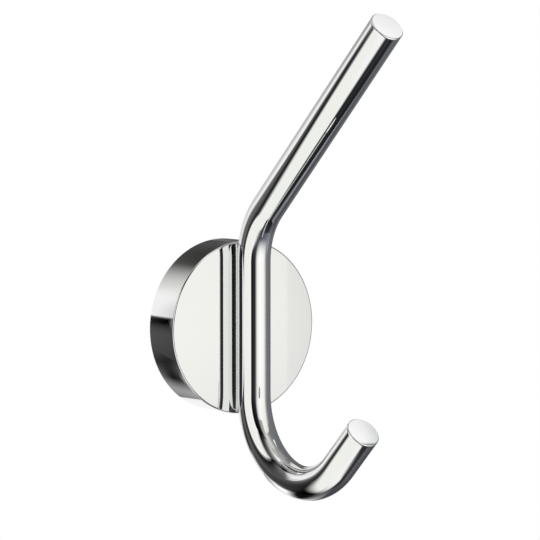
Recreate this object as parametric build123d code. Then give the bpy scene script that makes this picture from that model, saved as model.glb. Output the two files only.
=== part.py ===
from build123d import *
import os

# Robe hook: a bent round bar on a thick round rosette, which hides a wall bracket and its fixings.
# Millimetres. The origin is the centre of the rosette's wall edge. The wall is the plane Y = 0,
# the room lies towards -Y, and +Z is up. The bar's centreline lies in the plane X = 0.

# Bar
ROD_DIAMETER = 10.0
ARM_LEAN = 46.0             # degrees that the upper arm leans forward from the vertical
ARM_BEND_RADIUS = 22.5      # centreline radius of the upper bend
ARM_LENGTH = 77.0           # straight stretch of the upper arm
STEM_ABOVE = 20.1           # straight stretch above the rosette's centre
STEM_BELOW = 19.6           # straight stretch below it
HOOK_BEND_RADIUS = 24.0     # centreline radius of the lower bend
HOOK_TURN = 135.0           # degrees that the lower end turns, from straight down to up and forward
TAIL_LENGTH = 15.8          # straight stretch of the hook's tip
END_EDGE = 0.3              # chamfer on the rims of both flat ends
SEAT_DEPTH = 0.15           # flat filed on the back of the bar, where it lies on the rosette

# Rosette
ROSETTE_DIAMETER = 52.0
ROSETTE_DEPTH = 12.4
ROSETTE_FACE = 3.4          # thickness of the front wall
ROSETTE_RIM = 2.5           # thickness of the round side wall
ROSETTE_EDGE = 0.5          # polished round between the side wall and the front
WALL_EDGE = 0.3             # chamfers on the edge that meets the wall

# Bracket
BRACKET_CLEARANCE = 0.25    # between the bracket's edge and the inside of the rosette
BRACKET_HEADROOM = 2.0      # between the bracket and the rosette's front wall
BRACKET_EDGE = 0.4          # chamfer that leads the rosette over the bracket
GROOVE_DEPTH = 1.8          # groove round the edge, which the set screw's tip seats in
WALL_SCREW_BORE = 5.0       # hole for a wall screw
WALL_SCREW_HEAD = 9.6       # mouth of its countersink
WALL_SCREW_MARGIN = 10.25   # from the bracket's edge in to the hole's centre

# Screws that hold the bar
ROD_SCREW_DIAMETER = 4.0
ROD_SCREW_HEAD = 8.0
ROD_SCREW_SOCKET = 2.5      # across the flats of the hexagon socket
ROD_SCREW_SOCKET_DEPTH = 1.5
ROD_SCREW_SPACING = 24.0
ROD_SCREW_TIP_GAP = 0.7     # between a screw's tip and the floor of its hole
ROD_BLIND_WALL = 2.55       # metal left in the bar in front of each blind hole
HEAD_RIM = 0.2              # height of the straight rim round a countersunk head
TIP_CHAMFER = 0.4

# Set screw
SET_SCREW_DIAMETER = 4.0
SET_SCREW_SOCKET = 2.0      # across the flats of the hexagon socket
SET_SCREW_SOCKET_DEPTH = 1.8
SET_SCREW_RECESS = 0.5      # how far its outer end lies inside the rim
SET_SCREW_TIP = 1.0         # diameter of the flat on its 90 degree point

# Fits
THREAD_CLEARANCE = 0.05     # round a screw in its hole, all the way round
SEAT_GAP = 0.05             # between the set screw's tip and the groove's floor

rod_radius = ROD_DIAMETER / 2
rosette_radius = ROSETTE_DIAMETER / 2
cavity_radius = rosette_radius - ROSETTE_RIM
cavity_depth = ROSETTE_DEPTH - ROSETTE_FACE
rod_y = -(ROSETTE_DEPTH + rod_radius - SEAT_DEPTH)
rod_screw_reach = ROD_DIAMETER - SEAT_DEPTH - ROD_BLIND_WALL - ROD_SCREW_TIP_GAP
bracket_radius = cavity_radius - BRACKET_CLEARANCE
bracket_thickness = cavity_depth - BRACKET_HEADROOM
groove_y = -bracket_thickness / 2
groove_radius = bracket_radius - GROOVE_DEPTH
set_screw_length = rosette_radius - SET_SCREW_RECESS - groove_radius - SEAT_GAP


def turned(*corners):
    """Solid turned about the Y axis from corners given as (radius, y)."""
    section = make_face(Polyline(*corners, close=True))
    return revolve(section, Axis.Y)


def facing_wall(z, y):
    """Plane across the Y axis at height z and depth y, looking at the wall."""
    return Plane(origin=(0, y, z), x_dir=(1, 0, 0), z_dir=(0, 1, 0))


def countersunk_form(shank_radius, head_radius, rim, length):
    """Shank along -Z with a 90 degree countersunk head, whose flat top is the plane Z = 0."""
    neck = -rim - (head_radius - shank_radius)
    section = make_face(Polyline(
        (0, 0), (head_radius, 0), (head_radius, -rim), (shank_radius, neck),
        (shank_radius, -length), (0, -length), close=True))
    return revolve(Plane.XZ * section, Axis.Z)


def hex_socket(across_flats, depth):
    """Hexagon socket cut down from the plane Z = 0."""
    hexagon = RegularPolygon(across_flats / 2, 6, major_radius=False)
    return extrude(hexagon, -depth)


def rod_centreline():
    """Upper arm, bend, stem, bend and tail, as one smooth wire in the plane X = 0."""
    stem = Line((rod_y, -STEM_BELOW), (rod_y, STEM_ABOVE))
    arm_bend = JernArc(stem @ 1, (0, 1), ARM_BEND_RADIUS, ARM_LEAN)
    arm = Line(arm_bend @ 1, arm_bend @ 1 + arm_bend % 1 * ARM_LENGTH)
    hook_bend = JernArc(stem @ 0, (0, -1), HOOK_BEND_RADIUS, -HOOK_TURN)
    tail = Line(hook_bend @ 1, hook_bend @ 1 + hook_bend % 1 * TAIL_LENGTH)
    return Plane.YZ * Wire([arm, arm_bend, stem, hook_bend, tail])


def rod_screw_heights():
    """Heights of the upper and the lower screw that hold the bar."""
    return ROD_SCREW_SPACING / 2, -ROD_SCREW_SPACING / 2


def make_hook_rod():
    """Round bar bent twice, with polished ends, a filed seat and two blind tapped holes in its back."""
    path = rod_centreline()
    start = Plane(origin=path @ 0, z_dir=path % 0)
    rod = sweep(start * Circle(rod_radius), path)
    ends = rod.faces().filter_by(GeomType.PLANE)
    rod = chamfer(ends.edges(), END_EDGE)
    seat = Box(
        ROD_DIAMETER, ROD_DIAMETER, ROSETTE_DIAMETER,
        align=(Align.CENTER, Align.MIN, Align.CENTER))
    rod -= Pos(0, -ROSETTE_DEPTH, 0) * seat
    hole = Cylinder(
        ROD_SCREW_DIAMETER / 2 + THREAD_CLEARANCE,
        rod_screw_reach + ROD_SCREW_TIP_GAP,
        align=(Align.CENTER, Align.CENTER, Align.MAX))
    for z in rod_screw_heights():
        rod -= facing_wall(z, -ROSETTE_DEPTH) * hole
    return rod


def make_rosette():
    """Turned cup: front wall, round side wall, two countersunk holes and a tapped hole underneath."""
    cup = turned(
        (0, -ROSETTE_DEPTH), (rosette_radius, -ROSETTE_DEPTH),
        (rosette_radius, -WALL_EDGE), (rosette_radius - WALL_EDGE, 0),
        (cavity_radius + WALL_EDGE, 0), (cavity_radius, -WALL_EDGE),
        (cavity_radius, -cavity_depth), (0, -cavity_depth))
    circles = cup.edges().filter_by(GeomType.CIRCLE)
    front_edge = circles.group_by(Axis.Y)[0]
    cup = fillet(front_edge, ROSETTE_EDGE)
    hole = countersunk_form(
        ROD_SCREW_DIAMETER / 2 + THREAD_CLEARANCE, ROD_SCREW_HEAD / 2 + THREAD_CLEARANCE,
        HEAD_RIM, ROSETTE_DEPTH)
    for z in rod_screw_heights():
        cup -= facing_wall(z, -cavity_depth) * hole
    tapped = Cylinder(
        SET_SCREW_DIAMETER / 2 + THREAD_CLEARANCE, rosette_radius,
        align=(Align.CENTER, Align.CENTER, Align.MAX))
    cup -= Pos(0, groove_y, -bracket_radius) * tapped
    return cup


def make_wall_bracket():
    """Round plate with a grooved edge and two countersunk holes for the wall screws."""
    front = -bracket_thickness
    floor_half = SET_SCREW_TIP / 2
    mouth_half = floor_half + GROOVE_DEPTH
    plate = turned(
        (0, 0), (bracket_radius, 0), (bracket_radius, groove_y + mouth_half),
        (groove_radius, groove_y + floor_half), (groove_radius, groove_y - floor_half),
        (bracket_radius, groove_y - mouth_half), (bracket_radius, front + BRACKET_EDGE),
        (bracket_radius - BRACKET_EDGE, front), (0, front))
    hole = countersunk_form(WALL_SCREW_BORE / 2, WALL_SCREW_HEAD / 2, HEAD_RIM, bracket_thickness)
    hole_z = bracket_radius - WALL_SCREW_MARGIN
    for z in (hole_z, -hole_z):
        plate -= Plane(origin=(0, front, z), z_dir=(0, -1, 0)) * hole
    return plate


def make_rod_screw(z):
    """Countersunk screw with a hexagon socket, from inside the rosette into the back of the bar."""
    length = ROSETTE_FACE + rod_screw_reach
    screw = countersunk_form(ROD_SCREW_DIAMETER / 2, ROD_SCREW_HEAD / 2, HEAD_RIM, length)
    tip = screw.faces().sort_by(Axis.Z)[0]
    screw = chamfer(tip.edges(), TIP_CHAMFER)
    screw -= hex_socket(ROD_SCREW_SOCKET, ROD_SCREW_SOCKET_DEPTH)
    return facing_wall(z, -cavity_depth) * screw


def make_set_screw():
    """Headless screw with a hexagon socket outside and a 90 degree point in the bracket's groove."""
    radius = SET_SCREW_DIAMETER / 2
    screw = Cylinder(radius, set_screw_length, align=(Align.CENTER, Align.CENTER, Align.MAX))
    tip = screw.faces().sort_by(Axis.Z)[0]
    screw = chamfer(tip.edges(), radius - SET_SCREW_TIP / 2)
    screw -= hex_socket(SET_SCREW_SOCKET, SET_SCREW_SOCKET_DEPTH)
    outer_end = Plane(origin=(0, groove_y, -rosette_radius + SET_SCREW_RECESS), z_dir=(0, 0, -1))
    return outer_end * screw


upper, lower = rod_screw_heights()
nodes = {
    "hook_rod": make_hook_rod(),
    "rosette": make_rosette(),
    "wall_bracket": make_wall_bracket(),
    "rod_screw_upper": make_rod_screw(upper),
    "rod_screw_lower": make_rod_screw(lower),
    "set_screw": make_set_screw(),
}

os.makedirs("parts", exist_ok=True)
for name, solid in nodes.items():
    export_step(solid, f"parts/{name}.step")
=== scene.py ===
"""Chromed robe hook on its round rosette, photographed in a white studio."""
import math

import bmesh
import bpy
import numpy as np
from mathutils import Matrix, Vector


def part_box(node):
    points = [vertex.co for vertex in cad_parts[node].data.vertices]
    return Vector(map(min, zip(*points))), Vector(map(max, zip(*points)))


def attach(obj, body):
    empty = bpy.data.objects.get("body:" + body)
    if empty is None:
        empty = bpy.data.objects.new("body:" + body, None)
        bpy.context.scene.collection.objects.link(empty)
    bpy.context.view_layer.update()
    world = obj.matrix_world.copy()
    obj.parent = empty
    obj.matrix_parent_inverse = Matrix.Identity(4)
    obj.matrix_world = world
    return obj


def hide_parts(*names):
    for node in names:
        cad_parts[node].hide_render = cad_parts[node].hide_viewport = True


MM = 0.001

# Camera
CAMERA_AZIMUTH = -37.03     # degrees round from the front, towards the hook's left
CAMERA_ELEVATION = 4.64
CAMERA_DISTANCE = 864.3 * MM
CAMERA_LENS = 190.0         # focal length in millimetres
SENSOR_WIDTH = 36.0         # millimetres
AIM_RIGHT = 15.18 * MM      # from the rosette's centre to the middle of the picture
AIM_UP = 16.33 * MM

# Bar, as it was bent
ARM_LEAN = 46.0             # degrees forward from the vertical
ARM_BEND_RADIUS = 22.5 * MM
ARM_LENGTH = 77.0 * MM
STEM_ABOVE = 20.1 * MM
STEM_BELOW = 19.6 * MM
HOOK_BEND_RADIUS = 24.0 * MM
HOOK_TURN = 135.0           # degrees from straight down to up and forward
TAIL_LENGTH = 15.8 * MM
END_EDGE = 0.3 * MM
SEAT_DEPTH = 0.15 * MM
SEAT_BLOCK = 44.0 * MM      # side of the cube that cuts the seat, taller than the straight stem
ROD_SCREW_SPACING = 24.0 * MM
ROD_HOLE_RADIUS = 2.05 * MM
ROD_BLIND_WALL = 2.55 * MM

# Rosette, as it was turned
ROSETTE_FACE = 3.4 * MM
ROSETTE_RIM = 2.5 * MM
ROSETTE_EDGE = 0.5 * MM
WALL_EDGE = 0.3 * MM
ROD_SCREW_HEAD_RADIUS = 4.05 * MM
HEAD_RIM = 0.2 * MM
SET_SCREW_HOLE_RADIUS = 2.05 * MM
SET_SCREW_Y = -3.5 * MM

# Screws, as they were rolled
THREAD_PITCH = 0.7 * MM     # coarse M4
THREAD_DEPTH = 0.38 * MM
THREAD_CREST = 1 / 8        # widths of the flat crest and of the root, in pitches
THREAD_ROOT = 1 / 4
PLAIN_NECK = 0.2 * MM       # between the head and the first turn of the thread
ROD_SCREW_SOCKET = 2.5 * MM     # across the flats
ROD_SCREW_SOCKET_DEPTH = 1.5 * MM
TIP_CHAMFER = 0.4 * MM
SET_SCREW_SOCKET = 2.0 * MM
SET_SCREW_SOCKET_DEPTH = 1.8 * MM
SET_SCREW_TIP = 0.5 * MM    # radius of the flat on its point

# How finely the surfaces are divided
BAR_SIDES = 160
BAR_RING_SPACING = 0.7 * MM
BEND_SEGMENTS = 120
BAR_HOLE_SIDES = 48
END_RING = 0.7              # width of the ring inside each flat end, against the end's
ROSETTE_SIDES = 360
ROSETTE_EDGE_SEGMENTS = 7
ROSETTE_RING = 0.5          # radius of the ring in the rosette's face, against the rosette's
ROSETTE_HOLE_SIDES = 64
SCREW_SIDES = 60
THREAD_RINGS = 14           # rings in each turn of the thread
SAME_PLACE = 0.0005 * MM    # points nearer than this are merged
ON_SHANK = 0.01 * MM        # points nearer than this to the shank's surface are rolled

# Shading: the angles in degrees past which an edge is crisp, and how faces share a corner
BAR_CRISP = 50
ROSETTE_CRISP = 30
SCREW_CRISP = 60
END_CRISP = 60
LARGE_FACE_SHARE = 100      # at the most, the larger face decides
SAME_SHARE = 0.04           # faces whose weights are nearer than this count the same

# Studio, in metres
FLOOR_Z = -3.2
FLOOR_SIZE = 12.0
ROOM_LIGHT = 0.85           # strength of the room's white light on what isn't a mirror
LAMP_SIZE = 1.5
LAMP_POWER = 12.0           # watts
LAMP_PLACE = (-1.2, -1.6, 1.8)

# Where nearly all of a noise's values lie
NOISE_LOW = 0.3
NOISE_HIGH = 0.7

# A cut that takes one closed mesh from another
CUT = {"operation": "DIFFERENCE", "solver": "MANIFOLD"}

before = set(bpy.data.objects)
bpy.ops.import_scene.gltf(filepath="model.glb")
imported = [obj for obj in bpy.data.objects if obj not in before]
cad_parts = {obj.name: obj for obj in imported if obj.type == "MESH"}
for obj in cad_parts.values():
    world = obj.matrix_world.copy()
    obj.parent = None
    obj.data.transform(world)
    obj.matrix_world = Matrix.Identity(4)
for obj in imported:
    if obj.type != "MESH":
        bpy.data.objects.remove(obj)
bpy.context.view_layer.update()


def colour(hex_code):
    """Linear colour for Blender from an sRGB hex code."""
    srgb = [int(hex_code[i:i + 2], 16) / 255 for i in (1, 3, 5)]
    return [c / 12.92 if c <= 0.04045 else ((c + 0.055) / 1.055) ** 2.4 for c in srgb] + [1.0]


def add(tree, kind, inputs=None, **settings):
    """New node in a tree, with its settings. Its inputs are values, or sockets to link."""
    node = tree.nodes.new(kind)
    for name, value in settings.items():
        setattr(node, name, value)
    for key, value in (inputs or {}).items():
        if isinstance(value, bpy.types.NodeSocket):
            tree.links.new(value, node.inputs[key])
        else:
            node.inputs[key].default_value = value
    return node


def directions(azimuth, elevation):
    """Ways out, right and up of something that faces an azimuth and elevation, in degrees."""
    azimuth, elevation = math.radians(azimuth), math.radians(elevation)
    out = Vector((
        math.sin(azimuth) * math.cos(elevation), -math.cos(azimuth) * math.cos(elevation),
        math.sin(elevation)))
    right = Vector((math.cos(azimuth), math.sin(azimuth), 0))
    return out, right, out.cross(right)


def empty_material(name):
    """Material with no nodes but its output."""
    material = bpy.data.materials.new(name)
    material.use_nodes = True
    material.node_tree.nodes.clear()
    return material, add(material.node_tree, "ShaderNodeOutputMaterial")


# Materials

def metal(name, tints, patches, roughness, haze, height, relief):
    """Bare metal whose colour wanders between two tints, its roughness between two values, and its
    surface up and down by a height. Each pattern is given as its real size and its fineness."""
    material, output = empty_material(name)
    tree = material.node_tree
    place = add(tree, "ShaderNodeTexCoord").outputs["Object"]
    patches, haze, relief = [
        add(tree, "ShaderNodeTexNoise", {
            "Vector": place, "Scale": 1 / size, "Detail": fineness}).outputs["Fac"]
        for size, fineness in (patches, haze, relief)]
    tint = add(tree, "ShaderNodeMix", {
        "Factor": patches, "A": colour(tints[0]), "B": colour(tints[1])}, data_type="RGBA")
    rough = add(tree, "ShaderNodeMapRange", {
        "Value": haze, "From Min": NOISE_LOW, "From Max": NOISE_HIGH,
        "To Min": roughness[0], "To Max": roughness[1]})
    bump = add(tree, "ShaderNodeBump", {"Height": relief, "Strength": 1.0, "Distance": height})
    shader = add(tree, "ShaderNodeBsdfPrincipled", {
        "Base Color": tint.outputs["Result"], "Metallic": 1.0,
        "Roughness": rough.outputs["Result"], "Normal": bump.outputs["Normal"]})
    tree.links.new(shader.outputs["BSDF"], output.inputs["Surface"])
    return material


def bright_chrome():
    """Bright chrome plating over polished brass: a clear mirror, faintly wavy from the buffing."""
    return metal(
        "bright_chrome_plating", tints=("#F0F1F1", "#F3F3F2"), patches=(18 * MM, 2.0),
        roughness=(0.018, 0.032), haze=(6 * MM, 3.0), height=0.002 * MM, relief=(5 * MM, 1.0))


def cast_zinc():
    """Die-cast zinc, as it comes from the mould: dull grey, with a fine cold-flow mottle."""
    mottle = (4 * MM, 6.0)
    return metal(
        "die_cast_zinc", tints=("#A9ABAC", "#C2C3C2"), patches=mottle,
        roughness=(0.38, 0.55), haze=mottle, height=0.02 * MM, relief=(0.6 * MM, 4.0))


def stainless_steel():
    """Plain stainless steel of a small screw: satin grey, with fine marks of the thread rollers."""
    stains = (1.5 * MM, 3.0)
    return metal(
        "plain_stainless_steel", tints=("#B9BAB9", "#CDCDCA"), patches=stains,
        roughness=(0.22, 0.36), haze=stains, height=0.003 * MM, relief=(0.25 * MM, 2.0))


# Geometry Nodes

def new_tree(name, **sizes):
    """Geometry tree with a mesh going in and out, and a named input for each size."""
    tree = bpy.data.node_groups.new(name, "GeometryNodeTree")
    tree.interface.new_socket("Geometry", in_out="INPUT", socket_type="NodeSocketGeometry")
    tree.interface.new_socket("Geometry", in_out="OUTPUT", socket_type="NodeSocketGeometry")
    for size_name, kind in sizes.items():
        tree.interface.new_socket(size_name, in_out="INPUT", socket_type="NodeSocket" + kind)
    return tree, add(tree, "NodeGroupInput").outputs


def close_tree(tree, geometry, finish):
    """Ends a tree: instances made real, the material set, the result sent out."""
    real = add(tree, "GeometryNodeRealizeInstances", {"Geometry": geometry})
    coated = add(tree, "GeometryNodeSetMaterial", {"Geometry": real.outputs[0], "Material": finish})
    add(tree, "NodeGroupOutput", {"Geometry": coated.outputs[0]})


def use_tree(piece, tree, **values):
    """Puts a tree on a piece as a modifier and sets the tree's inputs."""
    modifier = piece.modifiers.new(tree.name, "NODES")
    modifier.node_group = tree
    for item in tree.interface.items_tree:
        if item.in_out == "INPUT" and item.name in values:
            modifier[item.identifier] = values[item.name]


def bar_sweep_tree(finish):
    """Rounds the corners of the bar's centreline and sweeps the round bar along it."""
    tree, size = new_tree(
        "bar_sweep", bar_radius="Float", sides="Int", bend_segments="Int", ring_spacing="Float")
    line = add(tree, "GeometryNodeMeshToCurve", {"Mesh": size["Geometry"]})
    bend = add(tree, "GeometryNodeInputNamedAttribute", {"Name": "bend_radius"}, data_type="FLOAT")
    bent = add(tree, "GeometryNodeFilletCurve", {
        "Curve": line.outputs[0], "Count": size["bend_segments"],
        "Radius": bend.outputs["Attribute"]}, mode="POLY")
    even = add(tree, "GeometryNodeResampleCurve", {
        "Curve": bent.outputs[0], "Length": size["ring_spacing"]}, mode="LENGTH")
    section = add(tree, "GeometryNodeCurvePrimitiveCircle", {
        "Resolution": size["sides"], "Radius": size["bar_radius"]})
    bar = add(tree, "GeometryNodeCurveToMesh", {
        "Curve": even.outputs[0], "Profile Curve": section.outputs["Curve"], "Fill Caps": True})
    # A ring inside each flat end, which keeps the end flat when its rim is shaded smooth
    corners = add(tree, "GeometryNodeInputMeshFaceNeighbors").outputs["Vertex Count"]
    is_end = add(tree, "FunctionNodeCompare", {
        "A": corners, "B": 4}, data_type="INT", operation="GREATER_THAN")
    ends = add(tree, "GeometryNodeExtrudeMesh", {
        "Mesh": bar.outputs["Mesh"], "Selection": is_end.outputs["Result"],
        "Offset Scale": 0.0}, mode="FACES")
    ringed = add(tree, "GeometryNodeScaleElements", {
        "Geometry": ends.outputs["Mesh"], "Selection": ends.outputs["Top"], "Scale": END_RING})
    close_tree(tree, ringed.outputs["Geometry"], finish)
    return tree


def at_both_screws(tree, tool, spacing, depth):
    """The tool's shape at the lower and the upper screw of the bar, at the depth given."""
    low = add(tree, "ShaderNodeMath", {0: spacing, 1: -0.5}, operation="MULTIPLY")
    first = add(tree, "ShaderNodeCombineXYZ", {"Y": depth, "Z": low.outputs[0]})
    pitch = add(tree, "ShaderNodeCombineXYZ", {"Z": spacing})
    places = add(tree, "GeometryNodeMeshLine", {
        "Count": 2, "Start Location": first.outputs[0], "Offset": pitch.outputs[0]}, mode="OFFSET")
    tools = add(tree, "GeometryNodeInstanceOnPoints", {
        "Points": places.outputs[0], "Instance": tool})
    return add(tree, "GeometryNodeRealizeInstances", {"Geometry": tools.outputs[0]}).outputs[0]


def seat_cut_tree(finish):
    """Files the flat seat on the back of the bar and drills its two blind holes."""
    tree, size = new_tree(
        "seat_cut", seat_y="Float", seat_block="Float", hole_radius="Float", hole_floor="Float",
        hole_spacing="Float")
    seat_y, side = size["seat_y"], size["seat_block"]
    block_size = add(tree, "ShaderNodeCombineXYZ", {"X": side, "Y": side, "Z": side})
    half_block = add(tree, "ShaderNodeMath", {0: side, 1: 0.5}, operation="MULTIPLY")
    block_y = add(tree, "ShaderNodeMath", {0: seat_y, 1: half_block.outputs[0]}, operation="ADD")
    block_place = add(tree, "ShaderNodeCombineXYZ", {"Y": block_y.outputs[0]})
    block = add(tree, "GeometryNodeMeshCube", {"Size": block_size.outputs[0]})
    block = add(tree, "GeometryNodeTransform", {
        "Geometry": block.outputs["Mesh"], "Translation": block_place.outputs[0]})
    depth = add(tree, "ShaderNodeMath", {0: seat_y, 1: size["hole_floor"]}, operation="SUBTRACT")
    long_drill = add(tree, "ShaderNodeMath", {0: depth.outputs[0], 1: 2.0}, operation="MULTIPLY")
    drill = add(tree, "GeometryNodeMeshCylinder", {
        "Vertices": BAR_HOLE_SIDES, "Radius": size["hole_radius"], "Depth": long_drill.outputs[0]})
    drill = add(tree, "GeometryNodeTransform", {
        "Geometry": drill.outputs["Mesh"], "Rotation": (math.pi / 2, 0, 0)})
    drills = at_both_screws(tree, drill.outputs[0], size["hole_spacing"], seat_y)
    seated = add(tree, "GeometryNodeMeshBoolean", {
        "Mesh 1": size["Geometry"], "Mesh 2": block.outputs[0]}, **CUT)
    drilled = add(tree, "GeometryNodeMeshBoolean", {
        "Mesh 1": seated.outputs["Mesh"], "Mesh 2": drills}, **CUT)
    close_tree(tree, drilled.outputs["Mesh"], finish)
    return tree


def rolled_thread_tree(finish):
    """Rolls a helical thread into a plain shank on the Z axis, then presses in its hex socket."""
    tree, size = new_tree(
        "rolled_thread", pitch="Float", depth="Float", crest="Float", thread_top="Float",
        thread_end="Float", runout="Float", socket_radius="Float", socket_depth="Float")
    where = add(tree, "GeometryNodeInputPosition").outputs[0]
    axes = add(tree, "ShaderNodeSeparateXYZ", {0: where}).outputs
    # How far a point lies from the middle of the crest, in pitches, up to half a pitch
    turn = add(tree, "ShaderNodeMath", {0: axes["Y"], 1: axes["X"]}, operation="ARCTAN2")
    turn = add(tree, "ShaderNodeMath", {0: turn.outputs[0], 1: 2 * math.pi}, operation="DIVIDE")
    along = add(tree, "ShaderNodeMath", {0: axes["Z"], 1: size["pitch"]}, operation="DIVIDE")
    phase = add(tree, "ShaderNodeMath", {
        0: along.outputs[0], 1: turn.outputs[0]}, operation="SUBTRACT")
    off_crest = add(tree, "ShaderNodeMath", {0: phase.outputs[0], 1: 0.5}, operation="PINGPONG")
    flank = add(tree, "ShaderNodeMapRange", {
        "Value": off_crest.outputs[0], "From Min": THREAD_CREST / 2,
        "From Max": 0.5 - THREAD_ROOT / 2}, interpolation_type="SMOOTHSTEP")
    # The thread fades out below the head and at the tip
    below_head = add(tree, "ShaderNodeMath", {
        0: size["thread_top"], 1: axes["Z"]}, operation="SUBTRACT")
    above_tip = add(tree, "ShaderNodeMath", {
        0: axes["Z"], 1: size["thread_end"]}, operation="SUBTRACT")
    reach = add(tree, "ShaderNodeMath", {
        0: below_head.outputs[0], 1: above_tip.outputs[0]}, operation="MINIMUM")
    fade = add(tree, "ShaderNodeMapRange", {
        "Value": reach.outputs[0], "From Min": 0.0, "From Max": size["runout"]})
    # Only points on the shank's surface are moved, towards the axis
    flat = add(tree, "ShaderNodeCombineXYZ", {"X": axes["X"], "Y": axes["Y"]})
    radius = add(tree, "ShaderNodeVectorMath", {0: flat.outputs[0]}, operation="LENGTH")
    on_shank = add(tree, "FunctionNodeCompare", {
        "A": radius.outputs["Value"], "B": size["crest"], "Epsilon": ON_SHANK}, operation="EQUAL")
    push = add(tree, "ShaderNodeMath", {
        0: flank.outputs[0], 1: fade.outputs[0]}, operation="MULTIPLY")
    push = add(tree, "ShaderNodeMath", {0: push.outputs[0], 1: size["depth"]}, operation="MULTIPLY")
    push = add(tree, "ShaderNodeMath", {0: push.outputs[0], 1: -1.0}, operation="MULTIPLY")
    inward = add(tree, "ShaderNodeVectorMath", {0: flat.outputs[0]}, operation="NORMALIZE")
    inward = add(tree, "ShaderNodeVectorMath", {
        0: inward.outputs[0], "Scale": push.outputs[0]}, operation="SCALE")
    rolled = add(tree, "GeometryNodeSetPosition", {
        "Geometry": size["Geometry"], "Selection": on_shank.outputs["Result"],
        "Offset": inward.outputs[0]})
    tall = add(tree, "ShaderNodeMath", {0: size["socket_depth"], 1: 2.0}, operation="MULTIPLY")
    punch = add(tree, "GeometryNodeMeshCylinder", {
        "Vertices": 6, "Radius": size["socket_radius"], "Depth": tall.outputs[0]})
    pressed = add(tree, "GeometryNodeMeshBoolean", {
        "Mesh 1": rolled.outputs[0], "Mesh 2": punch.outputs["Mesh"]}, **CUT)
    close_tree(tree, pressed.outputs["Mesh"], finish)
    return tree


def finished_mesh(piece):
    """Turns a piece with its modifiers into a plain mesh."""
    graph = bpy.context.evaluated_depsgraph_get()
    mesh = bpy.data.meshes.new_from_object(piece.evaluated_get(graph), depsgraph=graph)
    mesh.name = piece.name
    piece.modifiers.clear()
    piece.data = mesh
    return piece


def new_piece(name, points, edges, faces=()):
    """Object at the origin from points, edges and faces."""
    mesh = bpy.data.meshes.new(name)
    mesh.from_pydata(points, edges, faces)
    piece = bpy.data.objects.new(name, mesh)
    bpy.context.scene.collection.objects.link(piece)
    return piece


def crisp_shading(piece, angle):
    """Shades smooth up to an angle, while flats stay flat beside their rounded edges."""
    mesh = piece.data
    build = bmesh.new()
    build.from_mesh(mesh)
    # The faces are weighed in millimetres, since the modifier skips any too small in metres
    build.transform(Matrix.Scale(1 / MM, 4))
    bmesh.ops.recalc_face_normals(build, faces=build.faces)
    for face in build.faces:
        face.smooth = True
    for edge in build.edges:
        edge.smooth = len(edge.link_faces) == 2 and edge.calc_face_angle() < math.radians(angle)
    build.to_mesh(mesh)
    build.free()
    weighted = piece.modifiers.new("weighted", "WEIGHTED_NORMAL")
    weighted.keep_sharp = True
    weighted.weight = LARGE_FACE_SHARE
    weighted.thresh = SAME_SHARE
    finished_mesh(piece).data.transform(Matrix.Scale(MM, 4))


def hook_bar(finish):
    """The bent bar, one smooth sweep from the tip of the arm to the tip of the hook."""
    low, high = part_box("hook_rod")
    radius = (high.x - low.x) / 2
    bar_y = high.y + SEAT_DEPTH - radius
    lean, turn = math.radians(ARM_LEAN), math.radians(HOOK_TURN)
    # How far the ends of each bend lie from the corner that it rounds
    arm_bend = ARM_BEND_RADIUS * math.tan(lean / 2)
    hook_bend = HOOK_BEND_RADIUS * math.tan(turn / 2)
    arm_corner = Vector((0, bar_y, STEM_ABOVE + arm_bend))
    hook_corner = Vector((0, bar_y, -STEM_BELOW - hook_bend))
    arm = Vector((0, -math.sin(lean), math.cos(lean)))
    tail = Vector((0, -math.sin(turn), -math.cos(turn)))
    arm_tip = arm_corner + arm * (arm_bend + ARM_LENGTH)
    tail_tip = hook_corner + tail * (hook_bend + TAIL_LENGTH)
    piece = new_piece(
        "chromed_bar", [arm_tip, arm_corner, hook_corner, tail_tip], [(0, 1), (1, 2), (2, 3)])
    bends = piece.data.attributes.new("bend_radius", "FLOAT", "POINT")
    bends.data.foreach_set("value", [0, ARM_BEND_RADIUS, HOOK_BEND_RADIUS, 0])
    use_tree(
        piece, bar_sweep_tree(finish), bar_radius=radius, sides=BAR_SIDES,
        bend_segments=BEND_SEGMENTS, ring_spacing=BAR_RING_SPACING)
    edge = piece.modifiers.new("end_edges", "BEVEL")
    edge.width = END_EDGE
    edge.angle_limit = math.radians(END_CRISP)
    use_tree(
        piece, seat_cut_tree(finish), seat_y=high.y, seat_block=SEAT_BLOCK,
        hole_radius=ROD_HOLE_RADIUS, hole_floor=bar_y - radius + ROD_BLIND_WALL,
        hole_spacing=ROD_SCREW_SPACING)
    crisp_shading(finished_mesh(piece), BAR_CRISP)
    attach(piece, "root")
    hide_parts("hook_rod")


def turned(name, section, sides):
    """Closed section, given as (radius, y), turned about the Y axis."""
    points = [(radius, y, 0) for radius, y in section]
    edges = [(i, i + 1) for i in range(len(points) - 1)]
    piece = new_piece(name, points, edges)
    lathe = piece.modifiers.new("lathe", "SCREW")
    lathe.axis = "Y"
    lathe.steps = lathe.render_steps = sides
    lathe.use_merge_vertices = True
    lathe.merge_threshold = SAME_PLACE
    return finished_mesh(piece)


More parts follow.
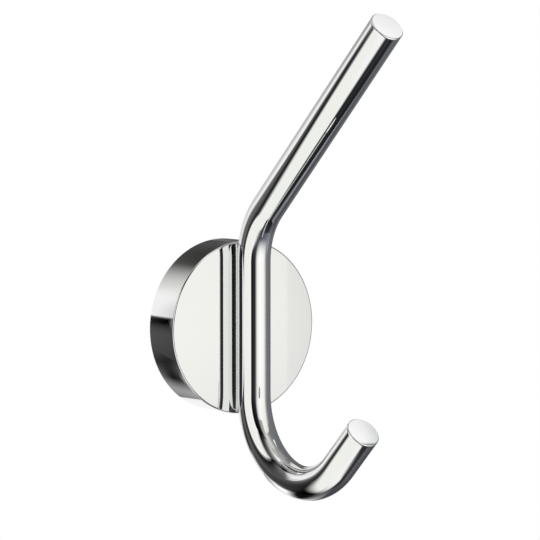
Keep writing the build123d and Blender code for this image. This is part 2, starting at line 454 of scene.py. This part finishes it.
def rosette_holes_tree(finish):
    """Bores the two countersunk holes in the front wall and the set screw's hole underneath."""
    tree, size = new_tree(
        "rosette_holes", countersink="Object", hole_spacing="Float", set_hole_radius="Float",
        set_hole_depth="Float", set_hole_y="Float", set_hole_z="Float")
    bit = add(tree, "GeometryNodeObjectInfo", {"Object": size["countersink"]})
    bits = at_both_screws(tree, bit.outputs["Geometry"], size["hole_spacing"], 0.0)
    drill = add(tree, "GeometryNodeMeshCylinder", {
        "Vertices": ROSETTE_HOLE_SIDES, "Radius": size["set_hole_radius"],
        "Depth": size["set_hole_depth"]})
    place = add(tree, "ShaderNodeCombineXYZ", {"Y": size["set_hole_y"], "Z": size["set_hole_z"]})
    drill = add(tree, "GeometryNodeTransform", {
        "Geometry": drill.outputs["Mesh"], "Translation": place.outputs[0]})
    cup = add(tree, "GeometryNodeMeshBoolean", {
        "Mesh 1": size["Geometry"], "Mesh 2": bits}, **CUT)
    cup = add(tree, "GeometryNodeMeshBoolean", {
        "Mesh 1": cup.outputs["Mesh"], "Mesh 2": drill.outputs[0]}, **CUT)
    close_tree(tree, cup.outputs["Mesh"], finish)
    return tree


def rosette_cup(finish):
    """The turned cup, with its polished front edge."""
    low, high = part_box("rosette")
    radius, depth = high.x, -low.y
    inside = radius - ROSETTE_RIM
    floor_y = -(depth - ROSETTE_FACE)
    edge = [
        (radius - ROSETTE_EDGE * (1 - math.sin(a)), -depth + ROSETTE_EDGE * (1 - math.cos(a)))
        for a in np.linspace(0, math.pi / 2, ROSETTE_EDGE_SEGMENTS + 1)]
    section = [
        (0, -depth), (radius * ROSETTE_RING, -depth), *edge,
        (radius, -WALL_EDGE), (radius - WALL_EDGE, 0),
        (inside + WALL_EDGE, 0), (inside, -WALL_EDGE), (inside, floor_y), (0, floor_y)]
    piece = turned("chromed_rosette", section, ROSETTE_SIDES)
    # The countersink's bit reaches well past both sides of the front wall
    bit_back, bit_front = floor_y / 2, -depth * 1.5
    head_y = floor_y - HEAD_RIM
    neck_y = head_y - (ROD_SCREW_HEAD_RADIUS - ROD_HOLE_RADIUS)
    countersink = turned("countersink", [
        (0, bit_back), (ROD_SCREW_HEAD_RADIUS, bit_back), (ROD_SCREW_HEAD_RADIUS, head_y),
        (ROD_HOLE_RADIUS, neck_y), (ROD_HOLE_RADIUS, bit_front), (0, bit_front)],
        ROSETTE_HOLE_SIDES)
    use_tree(
        piece, rosette_holes_tree(finish), countersink=countersink, hole_spacing=ROD_SCREW_SPACING,
        set_hole_radius=SET_SCREW_HOLE_RADIUS, set_hole_depth=2 * ROSETTE_RIM,
        set_hole_y=SET_SCREW_Y, set_hole_z=-radius + ROSETTE_RIM / 2)
    finished_mesh(piece)
    bpy.data.objects.remove(countersink)
    crisp_shading(piece, ROSETTE_CRISP)
    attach(piece, "root")
    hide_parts("rosette")


def threaded_screw(name, node, tree, head, shank, tip, thread, socket, place):
    """Screw turned on the Z axis with its top at zero, then threaded, given its socket (width
    across the flats, depth) and put in its node's place. Head and tip are the corners (radius,
    height) above and below the shank, which is given as its radius and its two heights."""
    radius, top, end = shank
    rings = round((top - end) / THREAD_PITCH * THREAD_RINGS)
    stretch = [(radius, height) for height in np.linspace(top, end, rings + 1)]
    piece = turned(name, [*head, *stretch, *tip], SCREW_SIDES)
    piece.data.transform(Matrix.Rotation(math.radians(90), 4, "X"))
    use_tree(
        piece, tree, pitch=THREAD_PITCH, depth=THREAD_DEPTH, crest=radius, thread_top=thread[0],
        thread_end=thread[1], runout=THREAD_PITCH, socket_radius=socket[0] / math.sqrt(3),
        socket_depth=socket[1])
    finished_mesh(piece)
    piece.data.transform(place)
    crisp_shading(piece, SCREW_CRISP)
    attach(piece, "root")
    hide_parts(node)


def screws(finish):
    """The two countersunk screws that hold the bar, and the set screw that holds the rosette."""
    tree = rolled_thread_tree(finish)
    cone = ROD_SCREW_HEAD_RADIUS - ROD_HOLE_RADIUS
    for name, node, side in (
            ("upper_screw", "rod_screw_upper", 1), ("lower_screw", "rod_screw_lower", -1)):
        low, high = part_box(node)
        length, head = high.y - low.y, (high.x - low.x) / 2
        radius, neck = head - cone, -HEAD_RIM - cone
        threaded_screw(
            name, node, tree,
            head=[(0, 0), (head, 0), (head, -HEAD_RIM)],
            shank=(radius, neck, -length + TIP_CHAMFER),
            tip=[(radius - TIP_CHAMFER, -length), (0, -length)],
            thread=(neck - PLAIN_NECK, -length),
            socket=(ROD_SCREW_SOCKET, ROD_SCREW_SOCKET_DEPTH),
            place=Matrix.Translation((0, high.y, side * ROD_SCREW_SPACING / 2))
            @ Matrix.Rotation(math.radians(-90), 4, "X"))
    low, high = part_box("set_screw")
    length, radius = high.z - low.z, (high.x - low.x) / 2
    point = radius - SET_SCREW_TIP
    threaded_screw(
        "pointed_set_screw", "set_screw", tree,
        head=[(0, 0)],
        shank=(radius, 0, -length + point),
        tip=[(SET_SCREW_TIP, -length), (0, -length)],
        thread=(THREAD_PITCH / 2, -length + point / 2),
        socket=(SET_SCREW_SOCKET, SET_SCREW_SOCKET_DEPTH),
        place=Matrix.Translation((0, SET_SCREW_Y, low.z))
        @ Matrix.Rotation(math.radians(180), 4, "X"))


# Studio

def card_finish(name, tint, half, soft, shade, stops):
    """Glow of a card whose edges fade away. Its UV map holds millimetres from its middle."""
    material, output = empty_material(name)
    tree = material.node_tree
    place = add(tree, "ShaderNodeUVMap", uv_map="from_middle")
    place = add(tree, "ShaderNodeSeparateXYZ", {0: place.outputs[0]}).outputs
    cover = 1.0
    for along, sign, edge, width in (
            ("X", -1, half[0], soft[0]), ("X", 1, half[0], soft[1]),
            ("Y", -1, half[1], soft[2]), ("Y", 1, half[1], soft[3])):
        fade = add(tree, "ShaderNodeMapRange", {
            "Value": place[along], "From Min": sign * (edge + width / 2),
            "From Max": sign * (edge - width / 2)}, interpolation_type="SMOOTHSTEP")
        cover = add(tree, "ShaderNodeMath", {
            0: cover, 1: fade.outputs[0]}, operation="MULTIPLY").outputs[0]
    across = add(tree, "ShaderNodeMapRange", {
        "Value": place["X"], "From Min": -half[0], "From Max": half[0],
        "To Min": shade[0], "To Max": shade[1]})
    upward = add(tree, "ShaderNodeMapRange", {
        "Value": place["Y"], "From Min": -half[1], "From Max": half[1],
        "To Min": -stops / 2, "To Max": stops / 2})
    across = add(tree, "ShaderNodeMath", {0: across.outputs[0], 1: 2.0}, operation="POWER")
    upward = add(tree, "ShaderNodeMath", {0: 2.0, 1: upward.outputs[0]}, operation="POWER")
    strength = add(tree, "ShaderNodeMath", {
        0: across.outputs[0], 1: upward.outputs[0]}, operation="MULTIPLY")
    clear = add(tree, "ShaderNodeBsdfTransparent")
    glow = add(tree, "ShaderNodeEmission", {
        "Color": colour(tint), "Strength": strength.outputs[0]})
    shader = add(tree, "ShaderNodeMixShader", {0: cover, 1: clear.outputs[0], 2: glow.outputs[0]})
    tree.links.new(shader.outputs[0], output.inputs["Surface"])
    return material


def studio_card(name, tint, middle, faces, size, soft, shade, stops):
    """Flat card near the hook, which only the chrome sees, in millimetres and degrees.
    It faces an azimuth and elevation. Its edges (left, right, bottom, top) fade over the soft
    widths. Its shade at the left and right is the square root of its strength, and its top is so
    many stops brighter than its bottom."""
    out, right, up = directions(*faces)
    half = (size[0] / 2, size[1] / 2)
    left_x, right_x = -half[0] - soft[0] / 2, half[0] + soft[1] / 2
    low_y, high_y = -half[1] - soft[2] / 2, half[1] + soft[3] / 2
    corners = [(left_x, low_y), (right_x, low_y), (right_x, high_y), (left_x, high_y)]
    points = [(Vector(middle) + right * x + up * y) * MM for x, y in corners]
    card = new_piece(name, points, [], [(0, 1, 2, 3)])
    places = card.data.uv_layers.new(name="from_middle")
    places.data.foreach_set("uv", np.ravel(corners))
    card.data.materials.append(card_finish(name, tint, half, soft, shade, stops))
    card.visible_camera = card.visible_diffuse = False
    card.visible_transmission = card.visible_shadow = False


# Name, tint, middle, faces, size, soft edges, shade at the left and right, stops up to the top.
# The middle and the sizes are in millimetres, the azimuth and elevation that it faces in degrees.
STUDIO_CARDS = [
    # Behind the camera: the big softbox, and the dark room beside it
    ("softbox", "#FFFFFA", (240, -520, 80), (175, -8), (520, 1050),
     (340, 40, 280, 260), (0.95, 1.05), -0.5),
    ("flag_front", "#FFFFFF", (-500, -440, 100), (-160, -5), (820, 900),
     (150, 400, 300, 100), (0.15, 0), -6),
    # Above: the white ceiling, which gets dimmer towards the right, with a bright patch in front
    ("ceiling", "#FFFFFC", (150, -50, 500), (20, -80), (2050, 1850),
     (200, 100, 300, 100), (1, 0.2), -1.8),
    ("ceiling_bright", "#FFFFFC", (0, -250, 490), (0, -80), (200, 350),
     (100, 200, 100, 100), (0.8, 0.9), 0),
    # Below: the table, dark towards the camera, and a black mat on it
    ("table_front", "#CCD3E4", (400, -170, -720), (5, 176), (1250, 1200),
     (300, 100, 200, 300), (0.1, 0.6), -5),
    ("table_mat", "#CCCFE0", (70, -40, -150), (20, 80), (130, 200),
     (20, 250, 1, 200), (0.2, 0), -2),
    # Left: the white card that draws the long stripe, and the flags that give it its dark edges
    ("card_left", "#FBFCF7", (-85, -34, -20), (70, 35), (65, 210),
     (20, 20, 1, 1), (1, 1), 0),
    ("strip_left", "#FFFFFF", (-75, 18, -50), (5, -5), (35, 280),
     (20, 50, 20, 20), (0.2, 0), -3),
    ("grey_left", "#FFFFFF", (-138, 86, 140), (70, -20), (125, 1250),
     (1, 40, 200, 100), (0.6, 0.45), 4),
    ("flag_top", "#FFFFFF", (-90, -50, 120), (70, -70), (200, 100),
     (1, 1, 50, 50), (0, 0.6), 5),
    # Behind: flags round the white backdrop, which darken the rosette's side and the hook's outside
    ("flag_rear_left", "#FFFFFF", (-210, 300, -60), (45, 55), (160, 380),
     (1, 160, 100, 20), (0.28, 0.4), 3),
    ("flag_rear_up", "#FFFFFF", (60, 315, 205), (15, 30), (280, 200),
     (150, 20, 600, 1), (0, 0), -4),
    ("flag_rear_low", "#FFFFFF", (-250, 400, -300), (-30, 110), (800, 500),
     (100, 100, 100, 100), (0.4, 0), 5),
    ("flag_rear_side", "#FFFFFF", (-103, 115, 5), (35, 75), (20, 100),
     (1, 20, 100, 40), (0, 0.4), 2),
    ("strip_low", "#FFFFFF", (-35, 46, -47), (-30, -10), (50, 15),
     (1, 40, 5, 20), (0.2, 0), -6),
    ("reflector_low", "#FFFFFF", (-10, 180, -160), (-10, 10), (120, 60),
     (100, 1, 100, 1), (1.2, 0.8), -3),
    # Right: the grey wall, a low flag, and the bright card that both flat ends show
    ("wall_right", "#DFE3E8", (465, 140, 50), (-94, -8), (1170, 1800),
     (140, 400, 320, 160), (0.4, 0.52), 0),
    ("flag_low_right", "#CCCFE0", (160, 0, -180), (-20, 10), (200, 200),
     (20, 200, 100, 100), (0.6, 0.4), -4),
    ("ends_card", "#FFFFFF", (244, -77, 346), (-68, -25), (138, 78),
     (100, 1, 25, 1), (0.4, 1.2), 1.2),
]


def studio():
    """White room, pale floor, one soft lamp, and the cards that the chrome mirrors."""
    world = bpy.data.worlds.new("white_studio")
    bpy.context.scene.world = world
    world.use_nodes = True
    world.node_tree.nodes.clear()
    tree = world.node_tree
    path = add(tree, "ShaderNodeLightPath")
    seen = add(tree, "ShaderNodeMath", {
        0: path.outputs["Is Camera Ray"], 1: path.outputs["Is Glossy Ray"]}, operation="MAXIMUM")
    seen = add(tree, "ShaderNodeMath", {
        0: seen.outputs[0], 1: path.outputs["Is Transmission Ray"]}, operation="MAXIMUM")
    light = add(tree, "ShaderNodeBackground", {"Color": colour("#FFFFFF"), "Strength": ROOM_LIGHT})
    backdrop = add(tree, "ShaderNodeBackground", {"Color": colour("#FFFFFF"), "Strength": 1.0})
    shader = add(tree, "ShaderNodeMixShader", {
        0: seen.outputs[0], 1: light.outputs[0], 2: backdrop.outputs[0]})
    add(tree, "ShaderNodeOutputWorld", {"Surface": shader.outputs[0]})

    half = FLOOR_SIZE / 2
    corners = [(-half, -half), (half, -half), (half, half), (-half, half)]
    floor = new_piece("pale_floor", [(x, y, FLOOR_Z) for x, y in corners], [], [(0, 1, 2, 3)])
    material, output = empty_material("pale_painted_floor")
    tree = material.node_tree
    path = add(tree, "ShaderNodeLightPath")
    mirrored = add(tree, "ShaderNodeMath", {
        0: path.outputs["Is Glossy Ray"], 1: path.outputs["Is Transmission Ray"]},
        operation="MAXIMUM")
    paint = add(tree, "ShaderNodeBsdfPrincipled", {
        "Base Color": colour("#F6F6F4"), "Roughness": 0.8})
    white = add(tree, "ShaderNodeEmission", {"Color": colour("#FFFFFF"), "Strength": 1.0})
    shader = add(tree, "ShaderNodeMixShader", {
        0: mirrored.outputs[0], 1: paint.outputs[0], 2: white.outputs[0]})
    tree.links.new(shader.outputs[0], output.inputs["Surface"])
    floor.data.materials.append(material)

    lamp = bpy.data.lights.new("soft_lamp", "AREA")
    lamp.size = LAMP_SIZE
    lamp.energy = LAMP_POWER
    lamp_object = bpy.data.objects.new("soft_lamp", lamp)
    bpy.context.scene.collection.objects.link(lamp_object)
    lamp_object.location = LAMP_PLACE
    lamp_object.rotation_euler = (-lamp_object.location).to_track_quat("-Z", "Y").to_euler()
    lamp_object.visible_glossy = False

    for card in STUDIO_CARDS:
        studio_card(*card)


def camera():
    """Long lens from the front left, a little above the rosette."""
    back, right, up = directions(CAMERA_AZIMUTH, CAMERA_ELEVATION)
    data = bpy.data.cameras.new("camera")
    data.sensor_width = SENSOR_WIDTH
    data.lens = CAMERA_LENS
    eye = bpy.data.objects.new("camera", data)
    bpy.context.scene.collection.objects.link(eye)
    eye.location = back * CAMERA_DISTANCE + right * AIM_RIGHT + up * AIM_UP
    eye.rotation_euler = (-back).to_track_quat("-Z", "Y").to_euler()
    bpy.context.scene.camera = eye


bpy.context.scene.view_settings.view_transform = "Standard"
camera()
studio()
chrome = bright_chrome()
hook_bar(chrome)
rosette_cup(chrome)
screws(stainless_steel())
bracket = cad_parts["wall_bracket"]
bracket.data.materials.clear()
bracket.data.materials.append(cast_zinc())
